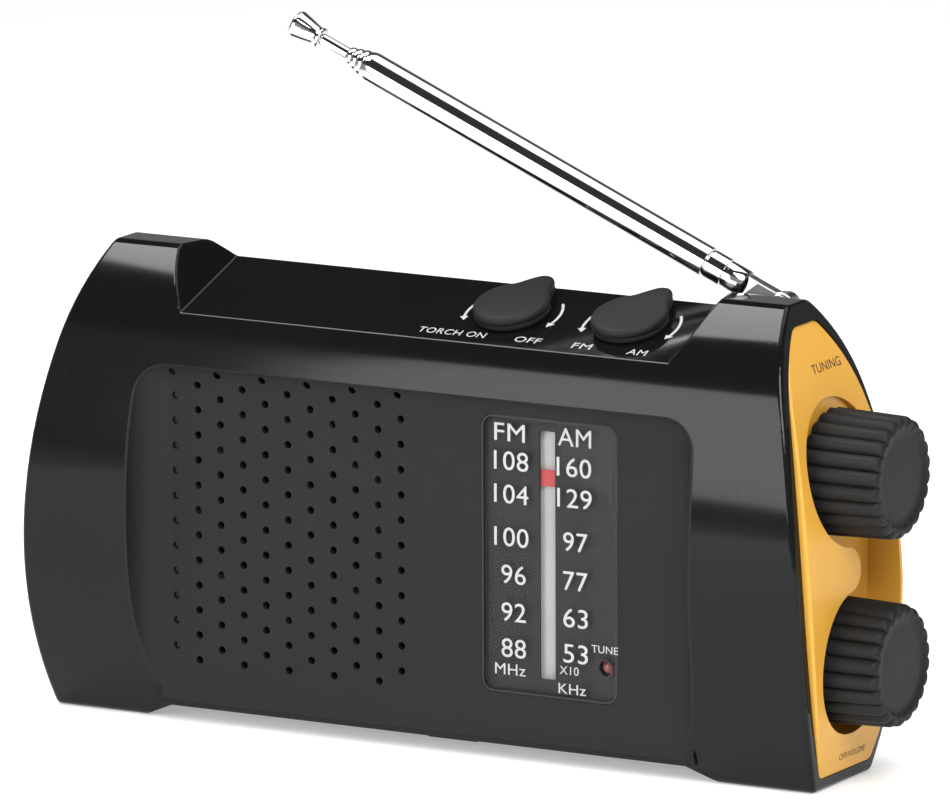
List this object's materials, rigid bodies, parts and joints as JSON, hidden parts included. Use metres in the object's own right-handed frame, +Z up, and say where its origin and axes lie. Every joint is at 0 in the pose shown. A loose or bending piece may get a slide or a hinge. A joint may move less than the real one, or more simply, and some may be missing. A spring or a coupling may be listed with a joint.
{
  "type": "emergency radio",
  "caption": "Portable dynamo radio with flared ends, sloping control deck, dial and speaker face, end knobs, torch, folding crank and telescopic antenna.",
  "frame": {"origin": "bottom centre of the case, in the plane of its two feet", "axes": "+X along the case to the end with the two knobs, -Y out of the dial and speaker face, +Z up"},
  "size_m": [0.2036, 0.048, 0.1524],
  "materials": {
    "gloss_black": "high-gloss moulded ABS",
    "matte_panel": "finely spark-eroded matte",
    "yellow_plastic": "satin moulded ABS",
    "soft_black": "matte rubbery moulding",
    "clear_window": "clear acrylic",
    "scale_black": "printed plate",
    "track_white": "natural acetal",
    "pointer_red": "moulded red",
    "lamp_red": "tinted epoxy lamp",
    "led_clear": "clear epoxy",
    "mirror_finish": "vacuum-metallised plastic",
    "antenna_chrome": "polished chrome plate",
    "plated_steel": "zinc plated",
    "board_green": "glass-epoxy board",
    "case_grey": "moulded case",
    "paper_cone": "pressed paper",
    "ferrite_grey": "sintered ferrite",
    "copper_wire": "enamelled copper wire",
    "dial_thread": "braided drive thread",
    "cell_green": "shrink-wrapped cells"
  },
  "bodies": {
    "case": {"back_housing": "gloss_black", "battery_cells": "cell_green", "dial_belt": "dial_thread", "dial_scale": "scale_black", "dial_window": "clear_window", "earphone_jack": "case_grey", "ferrite_coil": "copper_wire", "ferrite_rod": "ferrite_grey", "front_housing": "gloss_black", "front_panel": "matte_panel", "generator_case": "plated_steel", "housing_screws": "plated_steel", "idler_axle": "plated_steel", "idler_pin": "plated_steel", "left_end_panel": "yellow_plastic", "main_board": "board_green", "pointer_track": "track_white", "right_end_panel": "yellow_plastic", "selector_switches": "case_grey", "speaker_cone": "paper_cone", "speaker_frame": "plated_steel", "speaker_magnet": "plated_steel", "torch_bezel": "soft_black", "torch_board": "board_green", "torch_led": "led_clear", "torch_lens": "clear_window", "torch_reflector": "mirror_finish", "tune_lamp": "lamp_red", "tuning_capacitor": "case_grey", "volume_control": "case_grey"},
    "tuning_spindle": {"tuning_knob": "soft_black", "tuning_shaft": "track_white", "cord_drum": "track_white"},
    "pointer": {"dial_pointer": "pointer_red"},
    "capacitor_rotor": {"capacitor_gear": "track_white"},
    "idler_pulley": {"cord_idler": "track_white"},
    "volume_spindle": {"volume_knob": "soft_black", "volume_shaft": "track_white"},
    "torch_selector": {"torch_selector_knob": "soft_black", "torch_selector_stem": "track_white"},
    "band_selector": {"band_selector_knob": "soft_black", "band_selector_stem": "track_white"},
    "crank": {"crank_arm": "soft_black", "crank_gear": "track_white", "fold_pin": "plated_steel"},
    "idler_train": {"idler_gear": "track_white"},
    "generator_rotor": {"generator_pinion": "track_white"},
    "grip_fold": {"grip_spindle": "plated_steel"},
    "grip": {"crank_grip": "soft_black"},
    "door": {"battery_door": "gloss_black"},
    "turret": {"antenna_turret": "antenna_chrome", "tilt_pin": "antenna_chrome", "antenna_nut": "plated_steel"},
    "mast": {"antenna_tongue": "antenna_chrome", "antenna_section_a": "antenna_chrome"},
    "mast_b": {"antenna_section_b": "antenna_chrome"},
    "mast_c": {"antenna_section_c": "antenna_chrome"},
    "mast_d": {"antenna_section_d": "antenna_chrome"},
    "mast_tip": {"antenna_rod": "antenna_chrome", "antenna_cap": "antenna_chrome"}
  },
  "joints": [
    {"name": "tuning_turn", "type": "hinge", "parent": "case", "child": "tuning_spindle", "pos_m": [0.098, 0, 0.067], "axis": [1, 0, 0], "range_deg": [-60, 295]},
    {"name": "pointer_travel", "type": "slide", "parent": "case", "child": "pointer", "axis": [0, 0, 1], "range_m": [-0.0415, 0.0086]},
    {"name": "capacitor_turn", "type": "hinge", "parent": "case", "child": "capacitor_rotor", "pos_m": [0.053, 0, 0.0526], "axis": [1, 0, 0], "range_deg": [-150, 32]},
    {"name": "cord_idler_turn", "type": "hinge", "parent": "case", "child": "idler_pulley", "pos_m": [0.063, -0.0045, 0.0105], "axis": [1, 0, 0], "range_deg": [-138, 676]},
    {"name": "volume_turn", "type": "hinge", "parent": "case", "child": "volume_spindle", "pos_m": [0.098, 0, 0.0266], "axis": [1, 0, 0], "range_deg": [0, 300]},
    {"name": "torch_select", "type": "hinge", "parent": "case", "child": "torch_selector", "pos_m": [0.0151, -0.00273, 0.09427], "axis": [0, -0.3239, 0.9461], "range_deg": [0, 30]},
    {"name": "band_select", "type": "hinge", "parent": "case", "child": "band_selector", "pos_m": [0.04365, -0.00273, 0.09427], "axis": [0, -0.3239, 0.9461], "range_deg": [0, 30]},
    {"name": "crank_turn", "type": "hinge", "parent": "case", "child": "crank", "pos_m": [0, 0.02, 0.05], "axis": [0, 1, 0], "continuous": true},
    {"name": "idler_turn", "type": "hinge", "parent": "case", "child": "idler_train", "pos_m": [-0.018, 0.01, 0.05], "axis": [0, 1, 0], "continuous": true},
    {"name": "generator_turn", "type": "hinge", "parent": "case", "child": "generator_rotor", "pos_m": [-0.036, 0.005, 0.05], "axis": [0, 1, 0], "continuous": true},
    {"name": "grip_unfold", "type": "hinge", "parent": "crank", "child": "grip_fold", "pos_m": [-0.05, 0.0198, 0.05], "axis": [0, 0, 1], "range_deg": [0, 90]},
    {"name": "grip_spin", "type": "hinge", "parent": "grip_fold", "child": "grip", "pos_m": [-0.035, 0.0198, 0.05], "axis": [1, 0, 0], "continuous": true},
    {"name": "door_slide", "type": "slide", "parent": "case", "child": "door", "axis": [0, 1, 0], "range_m": [0, 0.03]},
    {"name": "antenna_swivel", "type": "hinge", "parent": "case", "child": "turret", "pos_m": [0.072, 0.0125, 0.0896], "axis": [0, 0, 1], "range_deg": [-180, 0]},
    {"name": "antenna_tilt", "type": "hinge", "parent": "turret", "child": "mast", "pos_m": [0.072, 0.0125, 0.0985], "axis": [0, 1, 0], "range_deg": [-14, 66.7]},
    {"name": "antenna_stage_1", "type": "slide", "parent": "mast", "child": "mast_b", "axis": [-0.9184, 0, 0.3955], "range_m": [0, 0.085]},
    {"name": "antenna_stage_2", "type": "slide", "parent": "mast_b", "child": "mast_c", "axis": [-0.9184, 0, 0.3955], "range_m": [0, 0.085]},
    {"name": "antenna_stage_3", "type": "slide", "parent": "mast_c", "child": "mast_d", "axis": [-0.9184, 0, 0.3955], "range_m": [0, 0.085]},
    {"name": "antenna_stage_4", "type": "slide", "parent": "mast_d", "child": "mast_tip", "axis": [-0.9184, 0, 0.3955], "range_m": [0, 0.085]}
  ],
  "couplings": [
    {"joint": "pointer_travel", "follows": "tuning_turn", "m_per_rad": -0.008},
    {"joint": "capacitor_turn", "follows": "tuning_turn", "ratio": -0.5},
    {"joint": "cord_idler_turn", "follows": "tuning_turn", "ratio": 2.2857},
    {"joint": "idler_turn", "follows": "crank_turn", "ratio": -4},
    {"joint": "generator_turn", "follows": "crank_turn", "ratio": 16}
  ]
}
